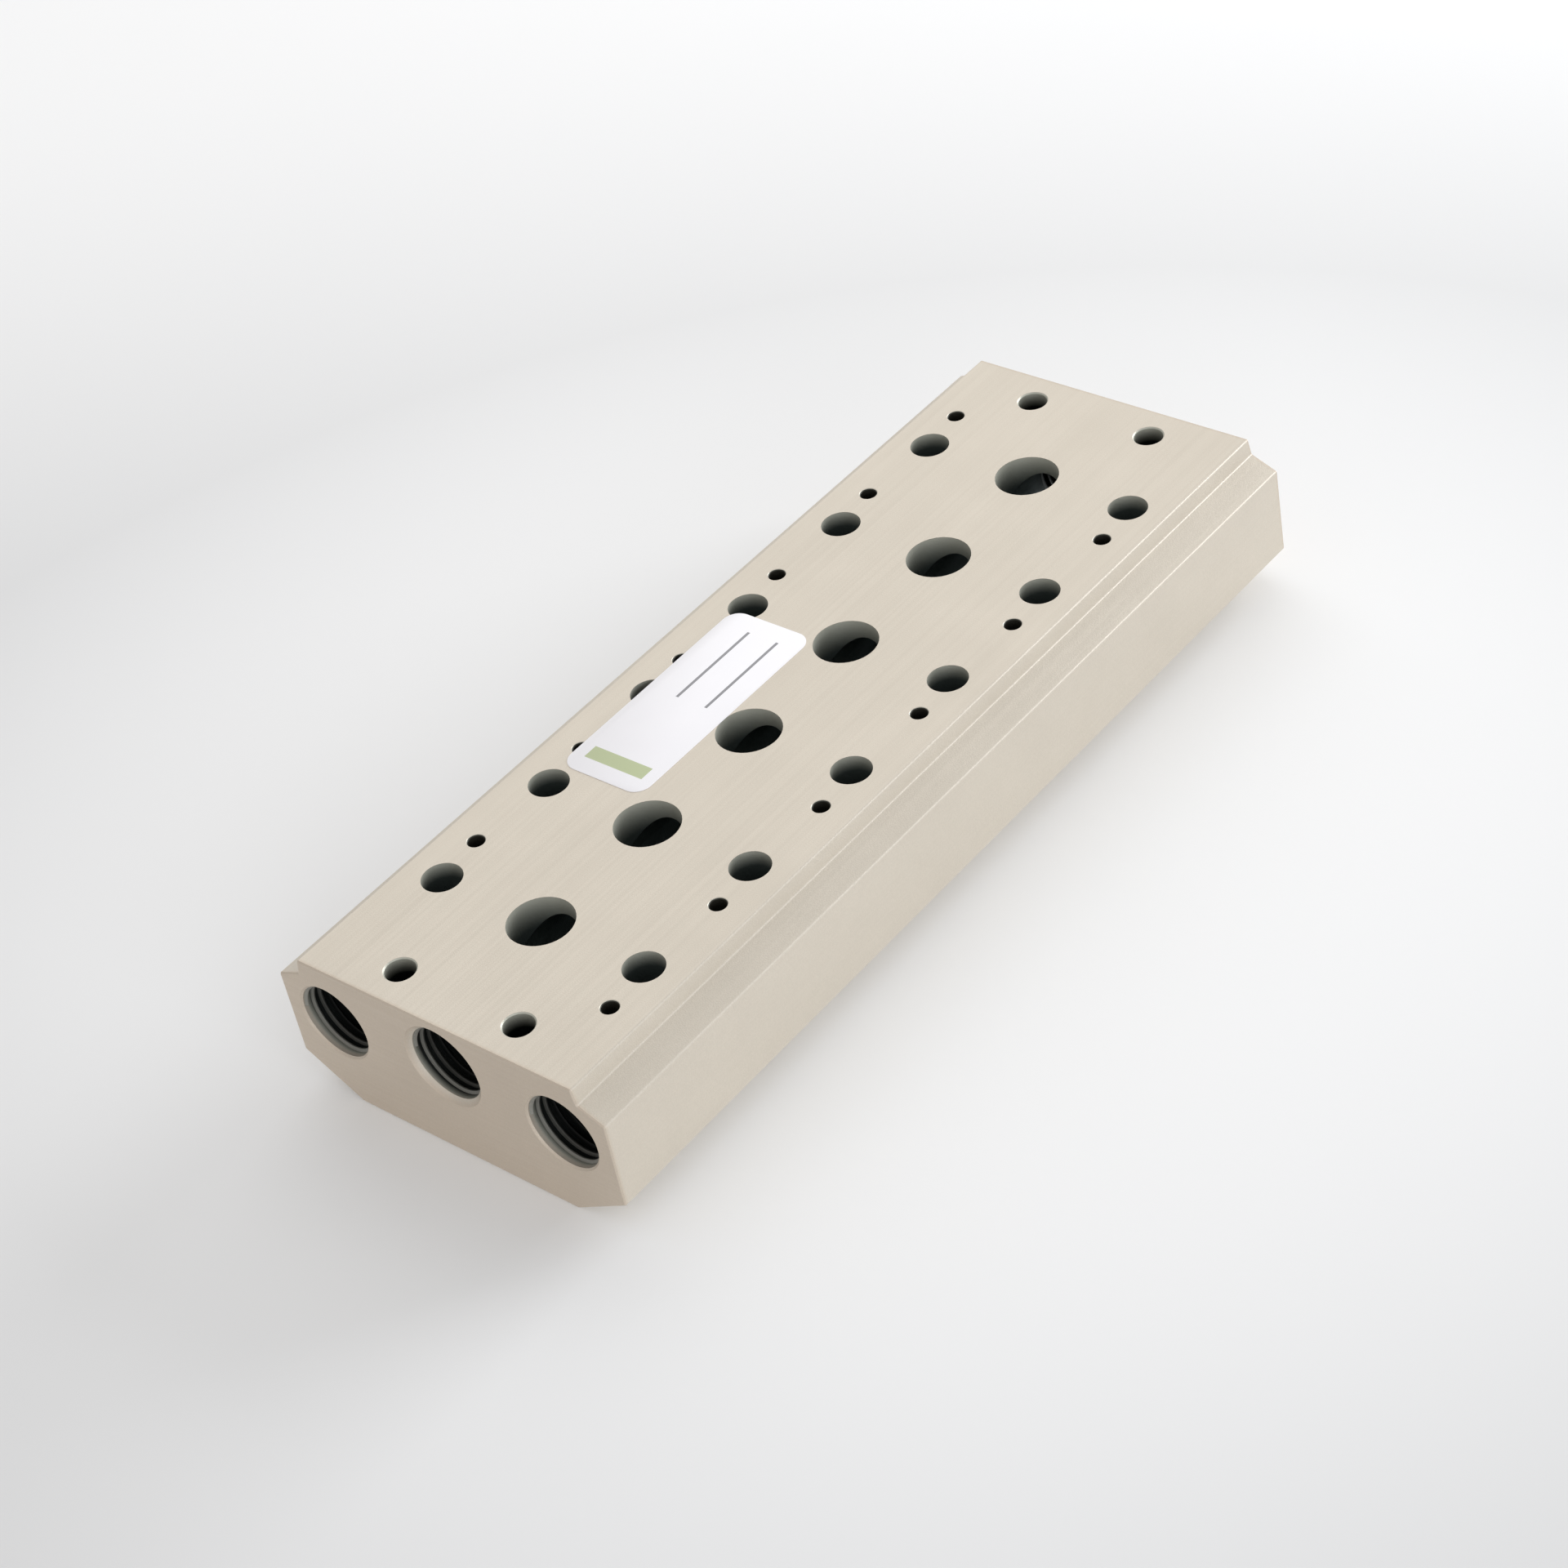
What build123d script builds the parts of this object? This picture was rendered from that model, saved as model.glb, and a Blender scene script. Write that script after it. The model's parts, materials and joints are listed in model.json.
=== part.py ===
"""Six-station valve manifold block: one machined length of stepped aluminium bar.

Frame: +X runs along the block, +Y across it, +Z up.
The origin is the middle of the flat base, so the block stands on z = 0.
Three galleries run the whole length: pressure in the middle, an exhaust on each side.
All sizes are in millimetres.
"""

import os

from build123d import *

# ---- stations -------------------------------------------------------------
station_count = 6
station_pitch = 23.0
end_margin = 23.0  # last station centre to the end face

# ---- extruded section, from the valve seat down to the base ---------------
seat_width = 51.2
step_depth = 2.6  # height of the step below the seat edge
step_draft = 0.5  # the step leans outwards by this much
ledge_width = 4.4  # sloping shoulder between step and side
ledge_fall = 1.9
side_height = 14.8  # upright side wall
base_bevel_width = 9.9  # bevel between side wall and base
base_bevel_height = 5.7
edge_radius = 0.35  # softened long edges of the bar
end_break = 0.2  # deburred outline of the sawn ends

# ---- galleries and end ports (G1/4 thread, bored to its pitch diameter) ----
port_bore_radius = 6.15
port_depth = 12.0  # threaded length behind the end face
port_tip_length = 1.4  # drill cone between port and gallery
exhaust_mouth_break = 0.3
pressure_mouth_break = 0.8
pressure_gallery_radius = 5.25
exhaust_gallery_radius = 4.5
port_to_seat_wall = 1.2  # metal left between pressure mouth and seat
exhaust_axis_drop = 1.9  # exhaust axes lie this much below the pressure axis
exhaust_axis_inset = 4.1  # from the seat edge line to the exhaust axis

# ---- ports and screws of one station --------------------------------------
pressure_hole_radius = 5.0
exhaust_hole_radius = 3.1
exhaust_hole_lead = 2.6  # exhaust holes stand this far inside their gallery axis
screw_hole_radius = 1.25  # tap drill for M3
screw_hole_depth = 5.0  # blind, above the exhaust gallery
screw_row_shift = 1.0  # screws stand this far outside the exhaust holes
screw_stagger = 8.3  # along the bar, opposite ways on the two sides
hole_break = 0.2  # deburred mouths of the screw and fixing holes

# ---- fixing holes through the block ---------------------------------------
fixing_hole_radius = 2.3
fixing_end_inset = 6.0
fixing_row_spacing = 22.2

# ---- derived sizes ---------------------------------------------------------
block_length = (station_count - 1) * station_pitch + 2 * end_margin
block_height = base_bevel_height + side_height + ledge_fall + step_depth
half_seat = seat_width / 2
half_step = half_seat + step_draft
half_width = half_step + ledge_width
half_base = half_width - base_bevel_width
side_top = base_bevel_height + side_height
step_foot = side_top + ledge_fall
pressure_mouth_radius = port_bore_radius + pressure_mouth_break
exhaust_mouth_radius = port_bore_radius + exhaust_mouth_break
pressure_axis_z = block_height - port_to_seat_wall - pressure_mouth_radius
exhaust_axis_z = pressure_axis_z - exhaust_axis_drop
exhaust_axis_y = half_seat - exhaust_axis_inset
exhaust_hole_y = exhaust_axis_y - exhaust_hole_lead
screw_hole_y = exhaust_hole_y + screw_row_shift
fixing_spacing_x = block_length - 2 * fixing_end_inset

# ---- cutter for one end port: mouth break, threaded bore, drill cone ------
def port_cutter(mouth_break, gallery_radius):
    """Cutter along +Z with the mouth at z = 0 and the gallery end at the top."""
    mouth_radius = port_bore_radius + mouth_break
    with BuildPart() as cutter:
        with BuildSketch(Plane.XZ):
            with BuildLine():
                Polyline(
                    (0, 0),
                    (mouth_radius, 0),
                    (port_bore_radius, mouth_break),
                    (port_bore_radius, port_depth),
                    (gallery_radius, port_depth + port_tip_length),
                    (0, port_depth + port_tip_length),
                    close=True,
                )
            make_face()
        revolve(axis=Axis.Z)
    return cutter.part


pressure_port = port_cutter(pressure_mouth_break, pressure_gallery_radius)
exhaust_port = port_cutter(exhaust_mouth_break, exhaust_gallery_radius)

# ---- the three ports of the near end, and their mirror image at the far end
near_end = Plane(origin=(-block_length / 2, 0, 0), x_dir=(0, 1, 0), z_dir=(1, 0, 0))
with BuildPart() as end_ports:
    with Locations(near_end):
        with Locations((0, pressure_axis_z)):
            add(pressure_port)
        with GridLocations(2 * exhaust_axis_y, 0, 2, 1):
            with Locations((0, exhaust_axis_z)):
                add(exhaust_port)
    mirror(about=Plane.YZ)

# ---- the block -------------------------------------------------------------
with BuildPart() as manifold_block:
    # stepped and bevelled bar, drawn as its right half and mirrored
    with BuildSketch(Plane.YZ):
        with BuildLine():
            Polyline(
                (0, 0),
                (half_base, 0),
                (half_width, base_bevel_height),
                (half_width, side_top),
                (half_step, step_foot),
                (half_seat, block_height),
                (0, block_height),
                close=True,
            )
        make_face()
        mirror(about=Plane.YZ)
        fillet(vertices(), radius=edge_radius)
    extrude(amount=block_length / 2, both=True)
    end_outlines = edges().group_by(Axis.X)[0] + edges().group_by(Axis.X)[-1]
    chamfer(end_outlines, length=end_break)

    # through galleries
    with BuildSketch(Plane.YZ):
        with Locations((0, pressure_axis_z)):
            Circle(pressure_gallery_radius)
        with Locations((-exhaust_axis_y, exhaust_axis_z), (exhaust_axis_y, exhaust_axis_z)):
            Circle(exhaust_gallery_radius)
    extrude(amount=block_length / 2, both=True, mode=Mode.SUBTRACT)

    # threaded ports at both ends
    add(end_ports.part, mode=Mode.SUBTRACT)

    # valve stations on the seat
    seat = Plane.XY.offset(block_height)
    with Locations(seat):
        with GridLocations(station_pitch, 0, station_count, 1):
            Hole(radius=pressure_hole_radius, depth=block_height - pressure_axis_z)
        with GridLocations(station_pitch, 2 * exhaust_hole_y, station_count, 2):
            Hole(radius=exhaust_hole_radius, depth=block_height - exhaust_axis_z)
        with GridLocations(station_pitch, 0, station_count, 1):
            with Locations((-screw_stagger, -screw_hole_y), (screw_stagger, screw_hole_y)):
                CounterSinkHole(
                    radius=screw_hole_radius,
                    counter_sink_radius=screw_hole_radius + hole_break,
                    depth=screw_hole_depth,
                    counter_sink_angle=90,
                )

        # fixing holes, right through to the base
        with GridLocations(fixing_spacing_x, fixing_row_spacing, 2, 2):
            CounterSinkHole(
                radius=fixing_hole_radius,
                counter_sink_radius=fixing_hole_radius + hole_break,
                counter_sink_angle=90,
            )

manifold_block.part.label = "manifold_block"

os.makedirs("parts", exist_ok=True)
export_step(manifold_block.part, "parts/manifold_block.step")
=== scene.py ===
# %% [markdown]
# # A valve manifold block
#
# This lesson dresses one machined aluminium block: a stepped bar with a flat seat on
# top, six valve stations drilled into it, and three threaded ports in each end. The
# block itself comes as a finished CAD solid. What is left for Blender is its anodised
# skin, the bright edges, the darker drilled walls, the port threads, a thin paper
# sticker, and the light that shows them.

# %% Load the frame
import math

import bmesh
import bpy
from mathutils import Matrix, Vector
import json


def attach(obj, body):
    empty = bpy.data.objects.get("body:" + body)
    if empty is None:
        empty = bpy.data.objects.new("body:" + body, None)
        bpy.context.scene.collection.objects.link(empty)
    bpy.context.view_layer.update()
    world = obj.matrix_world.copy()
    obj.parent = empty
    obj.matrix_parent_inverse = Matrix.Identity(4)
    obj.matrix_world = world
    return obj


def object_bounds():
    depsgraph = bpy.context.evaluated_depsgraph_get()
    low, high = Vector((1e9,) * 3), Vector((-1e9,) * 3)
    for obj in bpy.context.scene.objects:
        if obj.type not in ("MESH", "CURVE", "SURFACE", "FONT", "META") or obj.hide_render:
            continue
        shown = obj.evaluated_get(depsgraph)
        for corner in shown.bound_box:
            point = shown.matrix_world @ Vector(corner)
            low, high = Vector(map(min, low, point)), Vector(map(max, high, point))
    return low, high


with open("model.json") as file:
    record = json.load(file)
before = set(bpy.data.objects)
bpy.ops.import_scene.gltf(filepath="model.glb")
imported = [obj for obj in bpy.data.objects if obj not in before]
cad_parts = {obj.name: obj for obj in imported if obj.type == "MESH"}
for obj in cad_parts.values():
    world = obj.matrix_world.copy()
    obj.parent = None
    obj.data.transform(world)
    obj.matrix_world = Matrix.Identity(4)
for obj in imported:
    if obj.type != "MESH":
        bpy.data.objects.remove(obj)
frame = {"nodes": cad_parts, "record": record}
block = frame["nodes"]["manifold_block"]
mounts = {mount["name"]: mount for mount in frame["record"]["mounts"]}
cad_box = [list(corner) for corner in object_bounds()]
print("CAD box in metres:", cad_box)

# %% [markdown]
# ## Sizes read from the record
#
# The record states where every port and screw pattern sits, so nothing is measured
# twice. The stations repeat along X, and the ends are mirror images of each other.

# %% Named sizes
MM = 0.001
half_length, half_width, seat_z = cad_box[1]
port_radius = mounts["near_pressure_port"]["dims"]["r_mm"] * MM
screw_radius = mounts["station_1_screws"]["dims"]["hole_r_mm"] * MM
station_x = sorted(m["pos_m"][0] for name, m in mounts.items() if name.startswith("station_"))
station_pitch = station_x[1] - station_x[0]
print("stations at", [round(x / MM, 2) for x in station_x])
print("pitch", round(station_pitch / MM, 2), "port radius", round(port_radius / MM, 2),
      "screw radius", round(screw_radius / MM, 2))

# %% [markdown]
# ## Corners of the bar's section
#
# The bar has one section all along: a flat seat, a small step, a sloping ledge, an
# upright side, and a broad bevel down to the base. Several masks need its corners, so
# they are written once, each as a distance from the middle plane and a height.

# %% Section corners
seat_half = 25.6 * MM
step_half = 26.1 * MM
base_half = 20.6 * MM
step_depth = 2.6 * MM
ledge_depth = 4.5 * MM
bevel_height = 5.7 * MM
section_corners = (
    (seat_half, seat_z),
    (step_half, seat_z - step_depth),
    (half_width, seat_z - ledge_depth),
    (half_width, bevel_height),
    (base_half, 0.0))
print("corners in mm", [(round(y / MM, 2), round(z / MM, 2)) for y, z in section_corners])

# %% [markdown]
# ## Selection helpers
#
# Operators act on whatever is selected, so each step starts from a clean selection.
# Every finished piece has its place in its mesh, with its object at the origin.

# %% Select and settle
def start_clean():
    """Deselect everything, so that an operator touches only what comes next."""
    if bpy.context.mode != "OBJECT":
        bpy.ops.object.mode_set(mode="OBJECT")
    bpy.ops.object.select_all(action="DESELECT")


def make_active(piece):
    """Select one object and make it the active one."""
    start_clean()
    piece.select_set(True)
    bpy.context.view_layer.objects.active = piece


def settle(piece):
    """Move the object's place, turn and scale into its mesh."""
    make_active(piece)
    bpy.ops.object.transform_apply(location=True, rotation=True, scale=True)


print("selection helpers ready")

# %% [markdown]
# ## Node helpers
#
# The materials are built from a few short lines each. `feed` puts a number, a colour or
# another node's output into a socket, and `maths` adds one Math node, so that a mask
# reads like a formula.

# %% Numbers and colours
def new_node(tree, kind, **settings):
    node = tree.nodes.new(kind)
    for name, value in settings.items():
        setattr(node, name, value)
    return node


def feed(tree, socket, value):
    """Put a number, a colour or another node's output into an input socket."""
    if isinstance(value, bpy.types.NodeSocket):
        tree.links.new(value, socket)
    else:
        socket.default_value = value


def maths(tree, operation, a, b=0.0, c=None, clamp=False):
    node = new_node(tree, "ShaderNodeMath", operation=operation, use_clamp=clamp)
    feed(tree, node.inputs[0], a)
    feed(tree, node.inputs[1], b)
    if c is not None:
        feed(tree, node.inputs[2], c)
    return node.outputs[0]


def mix_colour(tree, factor, a, b):
    node = new_node(tree, "ShaderNodeMix", data_type="RGBA")
    feed(tree, node.inputs["Factor"], factor)
    feed(tree, node.inputs[6], a)
    feed(tree, node.inputs[7], b)
    return node.outputs[2]


def mix_number(tree, factor, a, b):
    node = new_node(tree, "ShaderNodeMix", data_type="FLOAT")
    feed(tree, node.inputs["Factor"], factor)
    feed(tree, node.inputs[2], a)
    feed(tree, node.inputs[3], b)
    return node.outputs[0]


def smooth_step(tree, value, low, high):
    """0 at low, 1 at high and an eased slope between them."""
    node = new_node(tree, "ShaderNodeMapRange", interpolation_type="SMOOTHSTEP")
    feed(tree, node.inputs["Value"], value)
    node.inputs["From Min"].default_value = low
    node.inputs["From Max"].default_value = high
    return node.outputs["Result"]


def distance(tree, off_a, off_b):
    """How far a point is from a line, from its two offsets."""
    square_a = maths(tree, "MULTIPLY", off_a, off_a)
    square_b = maths(tree, "MULTIPLY", off_b, off_b)
    return maths(tree, "SQRT", maths(tree, "ADD", square_a, square_b))


print("number and colour helpers ready")

# %% [markdown]
# Patterns need a place to read. Object coordinates are used throughout, because every
# mesh is in metres about the block's own origin, so a pattern has its true size.

# %% Places and noises
noise_low, noise_high = 0.3, 0.7


def object_place(tree):
    """Object coordinates, whole and split into X, Y and Z."""
    place = new_node(tree, "ShaderNodeTexCoord").outputs["Object"]
    split = new_node(tree, "ShaderNodeSeparateXYZ")
    tree.links.new(place, split.inputs[0])
    return place, split.outputs[0], split.outputs[1], split.outputs[2]


def stretched(tree, place, factors):
    """The same place with each axis scaled, so that a noise becomes streaks."""
    node = new_node(tree, "ShaderNodeVectorMath", operation="MULTIPLY")
    feed(tree, node.inputs[0], place)
    node.inputs[1].default_value = factors
    return node.outputs[0]


def noise(tree, place, scale, detail):
    node = new_node(tree, "ShaderNodeTexNoise")
    feed(tree, node.inputs["Vector"], place)
    feed(tree, node.inputs["Scale"], scale)
    node.inputs["Detail"].default_value = detail
    return node.outputs["Fac"]


def crisp_noise(tree, place, scale, detail):
    """A noise whose middle tones are drawn out to the whole range from 0 to 1."""
    return smooth_step(tree, noise(tree, place, scale, detail), noise_low, noise_high)


print("pattern helpers ready")

# %% [markdown]
# An effect that several materials share is a node group: it is built once and placed in
# each material with its own values. A group here takes and gives plain numbers, and the
# shader that uses them stays in the material.

# %% Groups and materials
def new_group(name, inputs, outputs):
    """An empty group, with what it is given and where its results go."""
    group = bpy.data.node_groups.new(name, "ShaderNodeTree")
    number = "NodeSocketFloat"
    for label, value in inputs.items():
        socket = group.interface.new_socket(name=label, in_out="INPUT", socket_type=number)
        socket.default_value = value
    for label in outputs:
        group.interface.new_socket(name=label, in_out="OUTPUT", socket_type=number)
    given = group.nodes.new("NodeGroupInput").outputs
    result = group.nodes.new("NodeGroupOutput").inputs
    return group, given, result


def place_group(tree, group, **values):
    """Place a group and set its inputs. An underscore in a name stands for a space."""
    node = new_node(tree, "ShaderNodeGroup", node_tree=group)
    for label, value in values.items():
        feed(tree, node.inputs[label.replace("_", " ")], value)
    return node.outputs


def new_material(name):
    material = bpy.data.materials.new(name)
    material.use_nodes = True
    tree = material.node_tree
    return material, tree, tree.nodes["Principled BSDF"]


def add_bump(tree, shader, height, strength, depth):
    """Let a height from 0 to 1 tilt the surface, as if it were that deep."""
    bump = new_node(tree, "ShaderNodeBump")
    bump.inputs["Strength"].default_value = strength
    bump.inputs["Distance"].default_value = depth
    feed(tree, bump.inputs["Height"], height)
    feed(tree, shader.inputs["Normal"], bump.outputs["Normal"])


print("group and material helpers ready")

# %% [markdown]
# ## Effect 1: silky grain
#
# Before it is anodised, such a bar is etched, which leaves a silky surface with a grain
# of about a fifth of a millimetre and cloudy patches a centimetre across. That is far
# too fine to model, so two noises at those sizes make it. The skin, the threads and the
# sticker all use this group, each with its own sizes.

# %% Grain group
def make_grain_group():
    group, given, result = new_group(
        "silky_grain", {"Grain Size": 0.2 * MM, "Patch Size": 12 * MM}, ("Grain", "Patches"))
    place, _, _, _ = object_place(group)
    fine = maths(group, "DIVIDE", 1.0, given["Grain Size"])
    broad = maths(group, "DIVIDE", 1.0, given["Patch Size"])
    feed(group, result["Grain"], crisp_noise(group, place, fine, 2.0))
    feed(group, result["Patches"], noise(group, place, broad, 3.0))
    return group


grain_group = make_grain_group()
print("group", grain_group.name)

# %% [markdown]
# ## Effect 2: lines left by the extrusion die
#
# The bar was pressed through a die, so faint lines run along its long faces. A noise
# whose X axis is squeezed to almost nothing becomes such lines. They are far too
# shallow to model and show only as a slight change of gloss.

# %% Die line group
die_line_stretch = (0.004, 1.0, 1.0)


def make_die_line_group():
    group, given, result = new_group("die_lines", {"Line Width": 0.35 * MM}, ("Lines",))
    place, _, _, _ = object_place(group)
    along = stretched(group, place, die_line_stretch)
    scale = maths(group, "DIVIDE", 1.0, given["Line Width"])
    feed(group, result["Lines"], crisp_noise(group, along, scale, 3.0))
    return group


die_line_group = make_die_line_group()
print("group", die_line_group.name)

# %% [markdown]
# ## Effect 3: worn long edges with a painted highlight
#
# The edges of the section catch the light as thin bright lines. Part of this is real
# wear, where the coating is thinner and handling polishes it. Part is a painted
# highlight, because the mask lightens the base colour there. The edges run straight
# along the bar, so the group measures how far a point is from each corner of the section
# and fades a mask out over a fraction of a millimetre. A noise breaks the line up, as
# wear does. The two sides are alike, so the distance to the middle plane is used.

# %% Edge group
wear_scale = 260.0
wear_gain, wear_least = 0.7, 0.55


def make_edge_group():
    group, given, result = new_group("long_edges", {"Width": 0.4 * MM}, ("Edge",))
    place, _, y, z = object_place(group)
    across = maths(group, "ABSOLUTE", y)
    nearest = None
    for corner_y, corner_z in section_corners:
        off_y = maths(group, "SUBTRACT", across, corner_y)
        off_z = maths(group, "SUBTRACT", z, corner_z)
        far = distance(group, off_y, off_z)
        nearest = far if nearest is None else maths(group, "MINIMUM", nearest, far)
    share = maths(group, "DIVIDE", nearest, given["Width"])
    closeness = maths(group, "SUBTRACT", 1.0, share, clamp=True)
    wear = noise(group, place, wear_scale, 3.0)
    worn = maths(group, "MULTIPLY_ADD", wear, wear_gain, wear_least, clamp=True)
    feed(group, result["Edge"], maths(group, "MULTIPLY", closeness, worn))
    return group


edge_group = make_edge_group()
print("group", edge_group.name)

# %% [markdown]
# ## Effect 4: which surface is a drilled wall
#
# The holes are drilled in the same bar, and their walls look darker and greener than
# the skin. The block is one mesh with one material, so the walls can't have a material
# of their own, and a mask has to find them. They are the points that lie well inside
# the outline of the section: between the base and the seat, or behind an upright side.

# %% Points inside the outline
height_margin = 0.2 * MM
base_margin = 1.6 * MM
seat_margin = 0.3 * MM
side_margin = 2.5 * MM


def inside_outline(group, across, z):
    """1 for points that lie inside the section by more than the margins, else 0."""
    above_bevel = maths(group, "GREATER_THAN", z, bevel_height + height_margin)
    below_ledge = maths(group, "LESS_THAN", z, seat_z - ledge_depth - height_margin)
    under_base = maths(group, "LESS_THAN", across, base_half - base_margin)
    within_seat = maths(group, "LESS_THAN", across, seat_half - seat_margin)
    under_seat = maths(group, "MULTIPLY", within_seat, above_bevel)
    within_side = maths(group, "LESS_THAN", across, half_width - side_margin)
    under_ledge = maths(group, "MULTIPLY", within_side, above_bevel)
    under_ledge = maths(group, "MULTIPLY", under_ledge, below_ledge)
    upper_part = maths(group, "MAXIMUM", under_seat, under_ledge)
    return maths(group, "MAXIMUM", under_base, upper_part)


print("outline mask ready")

# %% [markdown]
# A drill leaves fine rings round its own axis. The ports and galleries lie along X, and
# their walls have no part of their normal along X. The other holes stand along Z. So
# the normal tells which way the rings of a wall repeat.

# %% Drill rings
lengthwise_limit = 0.02


def drill_rings(group, x, z, ring_pitch):
    """A wave along the drill's axis with one crest in each pitch."""
    normal = new_node(group, "ShaderNodeSeparateXYZ")
    geometry = new_node(group, "ShaderNodeNewGeometry")
    group.links.new(geometry.outputs["Normal"], normal.inputs[0])
    part_along_x = maths(group, "ABSOLUTE", normal.outputs[0])
    lengthwise = maths(group, "LESS_THAN", part_along_x, lengthwise_limit)
    axis = mix_number(group, lengthwise, z, x)
    turns = maths(group, "DIVIDE", axis, ring_pitch)
    return maths(group, "SINE", maths(group, "MULTIPLY", turns, 2 * math.pi))


print("ring helper ready")

# %% [markdown]
# The mask fades in just below the mouth of a hole, and a little later at the ends, where
# the bevels of the ports wear the same skin as the outside. A wall gets darker with its
# depth, because light comes in only at the mouths. The narrow outer holes trap light
# sooner than the wide middle row, so their depth counts for more, and each material says
# how much sooner its ports darken. Near End marks the ports behind both ends, which are
# the darkest of all.

# %% Drilled wall group
mouth_fade = 0.06 * MM
end_fade = 0.5 * MM
wide_row = 6.5 * MM
narrow_extra = 0.9
port_end = 12 * MM
gallery_start = 15 * MM


def make_wall_group():
    group, given, result = new_group(
        "drilled_walls",
        {"Seat Rim": 0.05 * MM, "End Rim": 0.75 * MM, "Port Darkening": 1.0,
         "Ring Pitch": 0.22 * MM},
        ("Wall", "Depth", "Near End", "Rings"))
    _, x, y, z = object_place(group)
    across = maths(group, "ABSOLUTE", y)
    inside = inside_outline(group, across, z)
    # distances behind the nearer flat face and behind the nearer end
    below_seat = maths(group, "MINIMUM", maths(group, "SUBTRACT", seat_z, z), z)
    below_seat = maths(group, "SUBTRACT", below_seat, given["Seat Rim"])
    behind_end = maths(group, "SUBTRACT", half_length, maths(group, "ABSOLUTE", x))
    behind_end = maths(group, "SUBTRACT", behind_end, given["End Rim"])
    shown = maths(group, "MINIMUM", smooth_step(group, below_seat, 0.0, mouth_fade),
                  smooth_step(group, behind_end, 0.0, end_fade))
    feed(group, result["Wall"], maths(group, "MULTIPLY", inside, shown))
    narrow = maths(group, "GREATER_THAN", across, wide_row)
    counted = maths(group, "MULTIPLY_ADD", narrow, narrow_extra, 1.0)
    down = maths(group, "MULTIPLY", below_seat, counted)
    inward = maths(group, "MULTIPLY", behind_end, given["Port Darkening"])
    feed(group, result["Depth"], maths(group, "MINIMUM", down, inward))
    feed(group, result["Near End"], smooth_step(group, behind_end, gallery_start, port_end))
    feed(group, result["Rings"], drill_rings(group, x, z, given["Ring Pitch"]))
    return group


wall_group = make_wall_group()
print("group", wall_group.name)

# %% [markdown]
# ## Effect 5: painted shade in the tapped screw holes
#
# The narrow screw holes are tapped, and a tapped hole looks almost black from above,
# because little light gets into it. Here that darkness is painted shade.
# The screws stand on one diagonal of every station, so the pattern is the same after
# half a turn. X is turned round on the far side and then folded onto one station, and
# the distance to the screw's centre gives the mask.

# %% Tapped hole group
screw_x = 8.3 * MM
screw_y = 19.9 * MM
first_screw = station_x[0] + screw_x


def make_tapped_group():
    group, given, result = new_group("tapped_holes", {"Margin": 0.12 * MM}, ("Tapped",))
    _, x, y, _ = object_place(group)
    turned = maths(group, "MULTIPLY", x, maths(group, "SIGN", y))
    steps = maths(group, "SUBTRACT", turned, first_screw)
    steps = maths(group, "DIVIDE", steps, station_pitch)
    off_x = maths(group, "SUBTRACT", steps, maths(group, "ROUND", steps))
    off_x = maths(group, "MULTIPLY", off_x, station_pitch)
    off_y = maths(group, "SUBTRACT", maths(group, "ABSOLUTE", y), screw_y)
    off = distance(group, off_x, off_y)
    reach = maths(group, "ADD", given["Margin"], screw_radius)
    feed(group, result["Tapped"], maths(group, "LESS_THAN", off, reach))
    return group


tapped_group = make_tapped_group()
print("group", tapped_group.name)

# %% [markdown]
# ## Effect 6: the sawn ends, partly painted shade
#
# The bar was sawn to length before it was coated. A sawn face takes the coating a
# little darker and pinker than the pressed skin, and the blade leaves faint lines
# across it. Part of the darkness of the end colours is painted shade, because the near
# end gets the least light. The group gives a mask of the two end faces and a noise drawn
# out along Y.

# %% Sawn end group
sawn_from, sawn_to = 0.05 * MM, 0.8 * MM
saw_line_stretch = (1.0, 0.02, 1.0)


def make_sawn_group():
    group, given, result = new_group(
        "sawn_ends", {"Line Width": 0.45 * MM}, ("Ends", "Saw Lines"))
    place, x, _, _ = object_place(group)
    behind_end = maths(group, "SUBTRACT", half_length, maths(group, "ABSOLUTE", x))
    feed(group, result["Ends"], smooth_step(group, behind_end, sawn_to, sawn_from))
    scale = maths(group, "DIVIDE", 1.0, given["Line Width"])
    across = stretched(group, place, saw_line_stretch)
    feed(group, result["Saw Lines"], crisp_noise(group, across, scale, 3.0))
    return group


sawn_group = make_sawn_group()
print("group", sawn_group.name)

# %% [markdown]
# ## The anodised skin
#
# The finish is a matte champagne coating on aluminium: half metal, half coloured film.
# Its base colour is mixed in layers, from the cloudy skin, through the sawn ends, partly
# painted shade, and the bright edges, partly a painted highlight, to the darker drilled
# walls. The walls turn nearly black as they get deeper, which is painted shade because
# light comes in only at the mouths. The tapped holes are painted almost black as shade.

# %% Skin colours
skin_colour = (0.668, 0.609, 0.520, 1.0)
skin_shade = (0.571, 0.517, 0.436, 1.0)
edge_wear_and_highlight_colour = (0.93, 0.90, 0.84, 1.0)
# the sawn ends: their own pinker tone, darkened further as painted shade
sawn_colour_with_painted_shade = (0.626, 0.541, 0.441, 1.0)
sawn_mottle_with_painted_shade = (0.554, 0.478, 0.391, 1.0)
wall_colour = (0.53, 0.53, 0.455, 1.0)
wall_deep = (0.080, 0.098, 0.095, 1.0)
port_deep = (0.006, 0.008, 0.007, 1.0)
tapped_hole_painted_shade = (0.035, 0.033, 0.025, 1.0)
grain_share = 0.35
edge_wear_and_highlight_share = 0.1
dark_depth = 5.0 * MM


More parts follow.
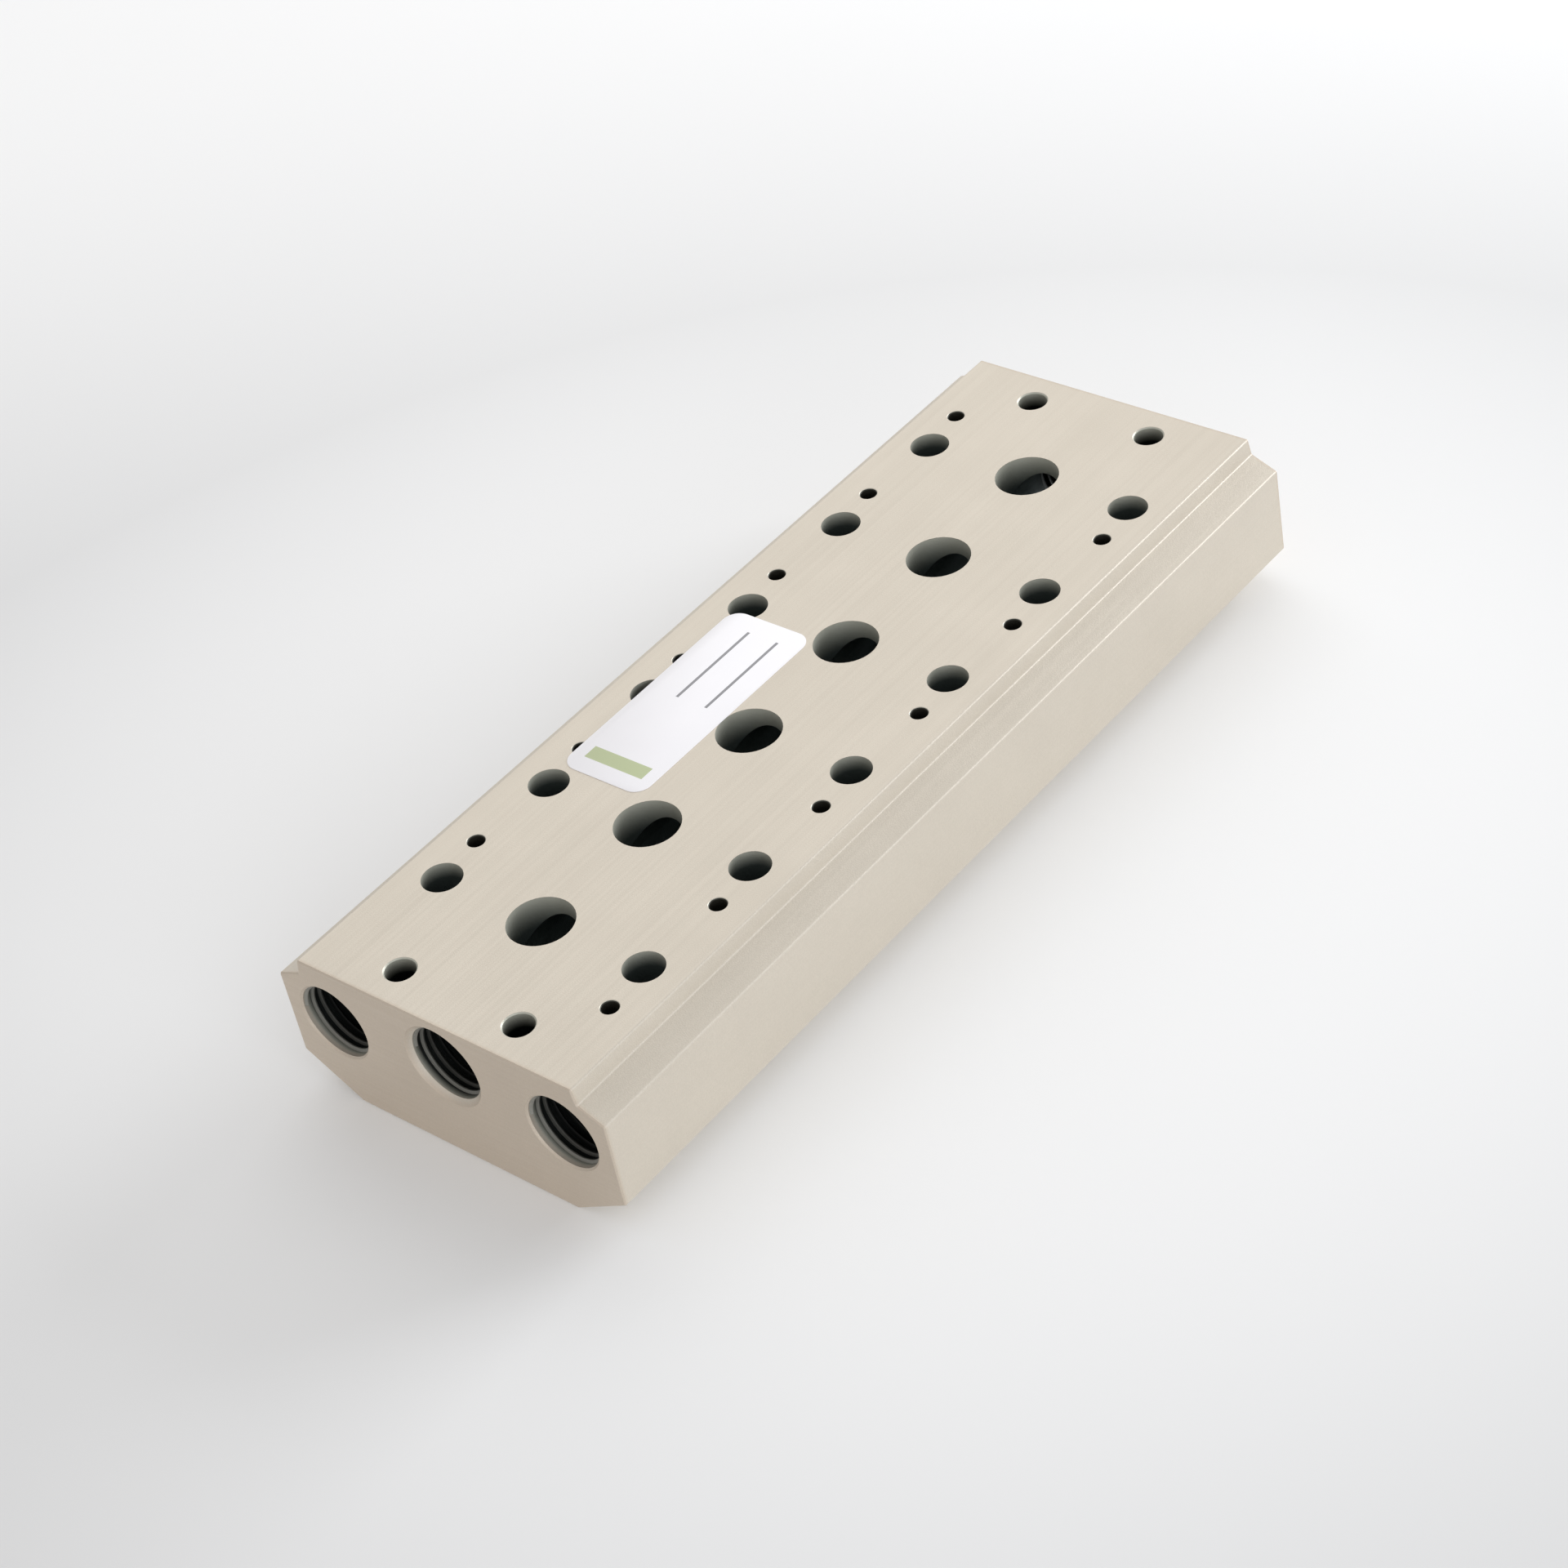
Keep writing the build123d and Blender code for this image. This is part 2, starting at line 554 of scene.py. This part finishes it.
def layer_skin_colour(tree, grain, edges, walls, tapped, sawn):
    """Layer the skin, end, edge and wall tones, with painted highlight and painted shade."""
    mottle = mix_number(tree, grain_share, grain["Patches"], grain["Grain"])
    skin_tone = mix_colour(tree, mottle, skin_shade, skin_colour)
    sawn_tone_with_painted_shade = mix_colour(tree, mottle, sawn_mottle_with_painted_shade, sawn_colour_with_painted_shade)
    outside = mix_colour(tree, sawn["Ends"], skin_tone, sawn_tone_with_painted_shade)
    # painted highlight and wear: the base colour is lightened along the long edges
    bright = maths(tree, "MULTIPLY", edges["Edge"], edge_wear_and_highlight_share)
    outside = mix_colour(tree, bright, outside, edge_wear_and_highlight_colour)
    deep = maths(tree, "DIVIDE", walls["Depth"], dark_depth, clamp=True)
    darkest = mix_colour(tree, walls["Near End"], wall_deep, port_deep)
    wall_tone = mix_colour(tree, deep, wall_colour, darkest)
    # painted shade: the tapped screw holes are made almost black
    wall_tone = mix_colour(tree, tapped["Tapped"], wall_tone, tapped_hole_painted_shade)
    return mix_colour(tree, walls["Wall"], outside, wall_tone)


print("skin colours ready")

# %% [markdown]
# The same masks drive the roughness and the fine relief. The grain and the die lines
# break up the gloss of the skin, the ends are rougher where the saw scored them, and
# the drilled walls are the roughest and carry the rings.

# %% Skin material
skin_metal, wall_metal = 0.45, 0.4
skin_rough, edge_rough, wall_rough = 0.36, 0.42, 0.46
line_rough, grain_rough, scored_rough = 0.10, 0.06, 0.12
line_relief, scored_relief = 0.35, 0.8
skin_bump, skin_bump_depth = 0.25, 0.03 * MM


def make_skin():
    material, tree, shader = new_material("champagne_anodised")
    grain = place_group(tree, grain_group, Grain_Size=0.2 * MM, Patch_Size=14 * MM)
    lines = place_group(tree, die_line_group, Line_Width=0.35 * MM)
    edges = place_group(tree, edge_group, Width=0.36 * MM)
    walls = place_group(tree, wall_group, Seat_Rim=0.01 * MM, End_Rim=0.7 * MM,
                        Port_Darkening=4.5, Ring_Pitch=0.22 * MM)
    tapped = place_group(tree, tapped_group, Margin=0.12 * MM)
    sawn = place_group(tree, sawn_group, Line_Width=0.45 * MM)
    colour = layer_skin_colour(tree, grain, edges, walls, tapped, sawn)
    feed(tree, shader.inputs["Base Color"], colour)
    metal = mix_number(tree, walls["Wall"], skin_metal, wall_metal)
    feed(tree, shader.inputs["Metallic"], metal)
    rough = maths(tree, "MULTIPLY_ADD", lines["Lines"], line_rough, skin_rough)
    rough = maths(tree, "MULTIPLY_ADD", grain["Grain"], grain_rough, rough)
    scored = maths(tree, "MULTIPLY", sawn["Ends"], sawn["Saw Lines"])
    rough = maths(tree, "MULTIPLY_ADD", scored, scored_rough, rough)
    rough = mix_number(tree, edges["Edge"], rough, edge_rough)
    rough = mix_number(tree, walls["Wall"], rough, wall_rough)
    feed(tree, shader.inputs["Roughness"], rough)
    relief = maths(tree, "MULTIPLY_ADD", lines["Lines"], line_relief, grain["Grain"])
    relief = maths(tree, "MULTIPLY_ADD", scored, scored_relief, relief)
    relief = mix_number(tree, walls["Wall"], relief, walls["Rings"])
    add_bump(tree, shader, relief, skin_bump, skin_bump_depth)
    return material


skin = make_skin()
for material_slot in block.material_slots:
    material_slot.material = skin
print("skin on", block.name, "with", len(block.material_slots), "slot")

# %% [markdown]
# ## Port threads
#
# Each end port takes a pipe fitting, so it has a right-handed thread with a pitch of
# 1.337 mm. The bored wall of the block lies at the pitch line, and the upper half of
# each thread ridge stands on it. A bump can't throw the shadows that make a thread
# readable, so the ridge is real: a small profile that the Screw modifier winds along
# the port. It is made once and copied to all six ports.

# %% Thread sizes
thread_pitch = 1.337 * MM
thread_crest = 5.74 * MM
thread_turns = 8
thread_steps = 56
ridge_foot = port_radius + 0.10 * MM  # buried a little in the wall
ridge_half_width = 0.40 * MM
ridge_half_profile = (
    (0.05 * MM, thread_crest),
    (0.11 * MM, thread_crest + 0.02 * MM),
    (0.36 * MM, ridge_foot - 0.12 * MM),
    (ridge_half_width, ridge_foot))
ridge_profile = [(-along, radius) for along, radius in reversed(ridge_half_profile)]
ridge_profile += ridge_half_profile
print("ridge of", len(ridge_profile), "points, wound", thread_turns, "times")

# %% [markdown]
# A circle gives the closed loop of edges, and its points are moved onto the profile.
# After winding, the two open ends are filled, so that the ridge is a closed solid.

# %% One thread ridge
def make_ridge():
    """A ridge wound about the X axis, with its first profile at X = 0."""
    start_clean()
    bpy.ops.mesh.primitive_circle_add(
        vertices=len(ridge_profile), radius=MM, enter_editmode=False)
    ridge = bpy.context.active_object
    ridge.name = ridge.data.name = "thread_pattern"
    for vertex, (along, radius) in zip(ridge.data.vertices, ridge_profile):
        vertex.co = (along, radius, 0.0)
    winding = ridge.modifiers.new("winding", "SCREW")
    winding.axis = "X"
    winding.angle = 2 * math.pi
    winding.screw_offset = thread_pitch
    winding.iterations = thread_turns
    winding.steps = winding.render_steps = thread_steps
    winding.use_normal_calculate = True
    make_active(ridge)
    bpy.ops.object.modifier_apply(modifier="winding")
    bpy.ops.object.mode_set(mode="EDIT")
    bpy.ops.mesh.select_all(action="SELECT")
    bpy.ops.mesh.remove_doubles(threshold=0.001 * MM)
    bpy.ops.mesh.fill_holes(sides=len(ridge_profile))
    bpy.ops.mesh.select_all(action="SELECT")
    bpy.ops.mesh.normals_make_consistent(inside=False)
    bpy.ops.object.mode_set(mode="OBJECT")
    return ridge


def open_edges_and_volume(piece):
    """A closed shape has no open edge, and its volume is positive."""
    mesh = bmesh.new()
    mesh.from_mesh(piece.data)
    open_edges = sum(1 for edge in mesh.edges if len(edge.link_faces) != 2)
    volume = mesh.calc_volume(signed=True)
    mesh.free()
    return open_edges, volume


pattern_ridge = make_ridge()
print("ridge faces", len(pattern_ridge.data.polygons),
      "open edges and volume", open_edges_and_volume(pattern_ridge))

# %% [markdown]
# The thread begins behind the bevel of the mouth and runs out where the drill cone
# starts. At both ends the ridge is pressed down into the wall over a sixth of a turn,
# as a tap leaves it.

# %% Run-outs
runout = thread_pitch / 6


def sink_ends(ridge):
    """Lower the crest towards the wall over the first and last few steps."""
    positions = [vertex.co.x for vertex in ridge.data.vertices]
    first, last = min(positions), max(positions)
    for vertex in ridge.data.vertices:
        turn = math.atan2(vertex.co.z, vertex.co.y) % (2 * math.pi)
        radius = math.hypot(vertex.co.y, vertex.co.z)
        from_start = vertex.co.x - first - ridge_half_width
        from_end = last - ridge_half_width - vertex.co.x
        nearest = max(0.0, min(from_start, from_end) + ridge_half_width)
        share = min(1.0, nearest / (runout + ridge_half_width))
        sunk = ridge_foot - (ridge_foot - radius) * share
        vertex.co.y = sunk * math.cos(turn)
        vertex.co.z = sunk * math.sin(turn)


sink_ends(pattern_ridge)
print("both ends sunk over", round(runout / MM, 3), "mm")

# %% [markdown]
# ## The metal of the threads
#
# A cut thread is barer and darker than the skin, and it gets nearly black towards the
# gallery, where no light comes. The grain and the wall groups are placed again, with
# finer grain and values of their own.

# %% Thread material
thread_colour = (0.34, 0.335, 0.30, 1.0)
thread_deep = (0.004, 0.005, 0.004, 1.0)
thread_dark_depth = 4.2 * MM
thread_patches = 0.2
thread_rough, thread_grain_rough = 0.34, 0.12


def make_thread_metal():
    material, tree, shader = new_material("machined_thread")
    grain = place_group(tree, grain_group, Grain_Size=0.12 * MM, Patch_Size=4 * MM)
    walls = place_group(tree, wall_group, Seat_Rim=0.0, End_Rim=0.4 * MM,
                        Port_Darkening=1.0, Ring_Pitch=0.16 * MM)
    deep = maths(tree, "DIVIDE", walls["Depth"], thread_dark_depth, clamp=True)
    shade = maths(tree, "MULTIPLY_ADD", grain["Patches"], thread_patches, deep, clamp=True)
    feed(tree, shader.inputs["Base Color"], mix_colour(tree, shade, thread_colour, thread_deep))
    shader.inputs["Metallic"].default_value = 0.5
    rough = maths(tree, "MULTIPLY_ADD", grain["Grain"], thread_grain_rough, thread_rough)
    feed(tree, shader.inputs["Roughness"], rough)
    add_bump(tree, shader, grain["Grain"], 0.15, 0.01 * MM)
    return material


thread_metal = make_thread_metal()
print("material", thread_metal.name)

# %% [markdown]
# ## Six copies of the thread
#
# The copies differ only in where they stand. At the far end the ridge is turned half
# round, because a mirror image would be a left-handed thread.

# %% Six threads
thread_gap = 0.45 * MM
mouth_bevels = {"pressure": 0.8 * MM, "exhaust_right": 0.3 * MM, "exhaust_left": 0.3 * MM}


def finish_piece(piece, material):
    """Give a piece its material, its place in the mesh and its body."""
    piece.data.materials.clear()
    piece.data.materials.append(material)
    settle(piece)
    bpy.ops.object.shade_smooth_by_angle(angle=math.radians(35))
    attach(piece, "root")


def place_thread(mount, name, mouth_bevel):
    thread = pattern_ridge.copy()
    thread.data = pattern_ridge.data.copy()
    thread.name = thread.data.name = name
    bpy.context.scene.collection.objects.link(thread)
    thread.location = (-half_length + mouth_bevel + thread_gap, 0.0, 0.0)
    settle(thread)
    opens_to_far_end = mount["axis"][0] > 0
    if opens_to_far_end:
        thread.rotation_euler = (0.0, 0.0, math.pi)
        settle(thread)
    thread.location = (0.0, mount["pos_m"][1], mount["pos_m"][2])
    finish_piece(thread, thread_metal)
    return thread


for end in ("near", "far"):
    for port, bevel in mouth_bevels.items():
        thread = place_thread(mounts[f"{end}_{port}_port"], f"{end}_{port}_thread", bevel)
        xs = [round(vertex.co.x / MM, 2) for vertex in thread.data.vertices]
        print(thread.name, "from", min(xs), "to", max(xs), open_edges_and_volume(thread))
bpy.data.objects.remove(pattern_ridge)

# %% [markdown]
# ## The paper sticker
#
# A white sticker with rounded corners lies on the seat, over parts of a few holes. It
# could be painted on by a mask, but then the holes would show through it. So it is a
# sheet of its own: a plane that gets round corners by a vertex bevel, its thickness by
# an extrusion, and a soft rim by a Bevel modifier.

# %% Sticker shape
sticker_centre = (-10.3 * MM, 12.6 * MM)
sticker_size = (40.3 * MM, 15.4 * MM)
sticker_corner = 2.6 * MM
sticker_thickness = 0.08 * MM
sticker_rim = 0.02 * MM


def make_sticker():
    start_clean()
    bpy.ops.mesh.primitive_plane_add(size=1.0, location=(*sticker_centre, seat_z))
    sheet = bpy.context.active_object
    sheet.name = sheet.data.name = "seat_sticker"
    sheet.scale = (*sticker_size, 1.0)
    settle(sheet)
    bpy.ops.object.mode_set(mode="EDIT")
    bpy.ops.mesh.select_all(action="SELECT")
    bpy.ops.mesh.bevel(
        offset=sticker_corner, offset_type="OFFSET", segments=10, affect="VERTICES")
    bpy.ops.mesh.select_all(action="SELECT")
    bpy.ops.mesh.extrude_region_move(
        TRANSFORM_OT_translate={"value": (0.0, 0.0, sticker_thickness)})
    bpy.ops.mesh.select_all(action="SELECT")
    bpy.ops.mesh.normals_make_consistent(inside=False)
    bpy.ops.object.mode_set(mode="OBJECT")
    rounding = sheet.modifiers.new("soft_rim", "BEVEL")
    rounding.width = sticker_rim
    rounding.segments = 2
    rounding.limit_method = "ANGLE"
    make_active(sheet)
    bpy.ops.object.modifier_apply(modifier="soft_rim")
    return sheet


sticker = make_sticker()
print("sticker faces", len(sticker.data.polygons),
      "open edges and volume", open_edges_and_volume(sticker))

# %% [markdown]
# The print is plain: two ruled lines to write on and a coloured band at one end. Ink has
# no thickness, so each is a mask over the paper's colour, made of two distances.

# %% Sticker material
paper_colour = (0.94, 0.925, 0.945, 1.0)
paper_shade = (0.91, 0.895, 0.92, 1.0)
rule_ink = (0.11, 0.11, 0.12, 1.0)
band_ink = (0.45, 0.52, 0.24, 1.0)
rule_cover, band_cover = 0.8, 0.85
paper_rough, paper_grain_rough = 0.38, 0.15
# centre and size of each printed box, in millimetres
upper_rule = ((-2.0, 14.6), (17.0, 0.5))
lower_rule = ((-2.0, 9.1), (17.0, 0.5))
end_band = ((-26.2, 12.6), (2.6, 11.0))


def box_mask(tree, x, y, box):
    """1 inside an upright box, else 0."""
    within = []
    for value, centre, size in zip((x, y), *box):
        off = maths(tree, "ABSOLUTE", maths(tree, "SUBTRACT", value, centre * MM))
        within.append(maths(tree, "LESS_THAN", off, size / 2 * MM))
    return maths(tree, "MULTIPLY", *within)


def make_paper():
    material, tree, shader = new_material("white_sticker")
    _, x, y, _ = object_place(tree)
    grain = place_group(tree, grain_group, Grain_Size=0.09 * MM, Patch_Size=6 * MM)
    rules = maths(tree, "MAXIMUM", box_mask(tree, x, y, upper_rule),
                  box_mask(tree, x, y, lower_rule))
    band = box_mask(tree, x, y, end_band)
    paper = mix_colour(tree, grain["Patches"], paper_shade, paper_colour)
    inked = mix_colour(tree, maths(tree, "MULTIPLY", rules, rule_cover), paper, rule_ink)
    inked = mix_colour(tree, maths(tree, "MULTIPLY", band, band_cover), inked, band_ink)
    feed(tree, shader.inputs["Base Color"], inked)
    rough = maths(tree, "MULTIPLY_ADD", grain["Grain"], paper_grain_rough, paper_rough)
    feed(tree, shader.inputs["Roughness"], rough)
    add_bump(tree, shader, grain["Grain"], 0.1, 0.01 * MM)
    return material


finish_piece(sticker, make_paper())
print("sticker finished")

# %% [markdown]
# ## Floor
#
# The block lies on a plain pale floor. Its colour holds painted light and shade: greyer
# in front, and whiter behind and in a painted pool of light around the block, as a lit
# paper sweep looks. It is stage and no part of the object. It lies a hair below the
# base, so that the two faces don't fight.

# %% Floor
floor_size = 12.0
floor_gap = 0.02 * MM
floor_painted_shade = (0.42, 0.42, 0.42, 1.0)
floor_painted_light = (0.93, 0.93, 0.93, 1.0)
front, back = -0.35, 0.45
light_pool_inner, light_pool_outer = 0.06, 0.34


def make_floor():
    start_clean()
    bpy.ops.mesh.primitive_plane_add(size=floor_size, location=(0.0, 0.0, -floor_gap))
    floor = bpy.context.active_object
    floor.name = "studio_floor"
    material, tree, shader = new_material("pale_floor")
    place, x, y, _ = object_place(tree)
    # painted shade in front, painted light behind and in a pool around the block
    behind = smooth_step(tree, maths(tree, "ADD", x, y), front, back)
    far_off = new_node(tree, "ShaderNodeVectorMath", operation="LENGTH")
    feed(tree, far_off.inputs[0], place)
    around = smooth_step(tree, far_off.outputs["Value"], light_pool_outer, light_pool_inner)
    pale = maths(tree, "MAXIMUM", behind, around)
    feed(tree, shader.inputs["Base Color"], mix_colour(tree, pale, floor_painted_shade, floor_painted_light))
    shader.inputs["Roughness"].default_value = 0.75
    shader.inputs["Specular IOR Level"].default_value = 0.2
    floor.data.materials.append(material)
    return floor


floor = make_floor()
print("floor", floor.name)

# %% [markdown]
# ## Light
#
# Satin metal shows what stands around it, so the light is broad and soft: a pale world
# and four softboxes. The one behind gives the seat its even tone. The strongest, beyond
# the far end, draws the bright edges and reaches into the holes. The one in front fills
# the long side, and a weak warm one fills the near end, which stays the darkest face.
# The sloping ledge reflects the gap between them, so it looks greyer than the seat.

# %% Lights
world_strength = 0.58


def aim_at_origin(light):
    """Turn a light so that it shines on the block."""
    direction = Vector((0.0, 0.0, 0.0)) - light.location
    light.rotation_euler = direction.to_track_quat("-Z", "Y").to_euler()


def add_softbox(name, place, size, watts, colour):
    start_clean()
    bpy.ops.object.light_add(type="AREA", location=place)
    light = bpy.context.active_object
    light.name = light.data.name = name
    light.data.shape = "RECTANGLE"
    light.data.size, light.data.size_y = size
    light.data.energy = watts
    light.data.color = colour
    aim_at_origin(light)
    print("light", name, watts, "W")


world = bpy.data.worlds.new("studio_world")
world.use_nodes = True
background = world.node_tree.nodes["Background"]
background.inputs["Color"].default_value = (1.0, 1.0, 1.0, 1.0)
background.inputs["Strength"].default_value = world_strength
bpy.context.scene.world = world
add_softbox("softbox_behind", (0.50, 0.52, 0.55), (0.9, 0.9), 2.2, (1.0, 0.99, 0.975))
add_softbox("softbox_far_end", (0.85, -0.32, 0.27), (0.65, 0.5), 6.8, (0.98, 1.0, 1.03))
add_softbox("softbox_front", (-0.40, -0.74, 0.22), (0.8, 0.4), 2.6, (0.96, 1.0, 1.05))
add_softbox("softbox_near_end", (-0.80, 0.10, 0.35), (0.7, 0.5), 0.25, (1.2, 0.95, 0.84))

# %% [markdown]
# ## Camera
#
# The camera looks down on one corner of the block from above its near end, slightly
# rolled, as a person leaning over a bench would see it.

# %% Camera
camera_place = (-0.29289, -0.29940, 0.34894)
camera_turn_degrees = (50.184, 9.281, -51.347)

start_clean()
bpy.ops.object.camera_add(location=camera_place)
camera = bpy.context.active_object
camera.name = "corner_camera"
camera.rotation_euler = [math.radians(angle) for angle in camera_turn_degrees]
camera.data.sensor_width = 36.0
camera.data.lens = 83.324
camera.data.clip_start = 0.01
bpy.context.scene.camera = camera
bpy.context.scene.view_settings.view_transform = "Standard"
print("camera", camera.name, "lens", camera.data.lens)

# %% Import json once more
import json
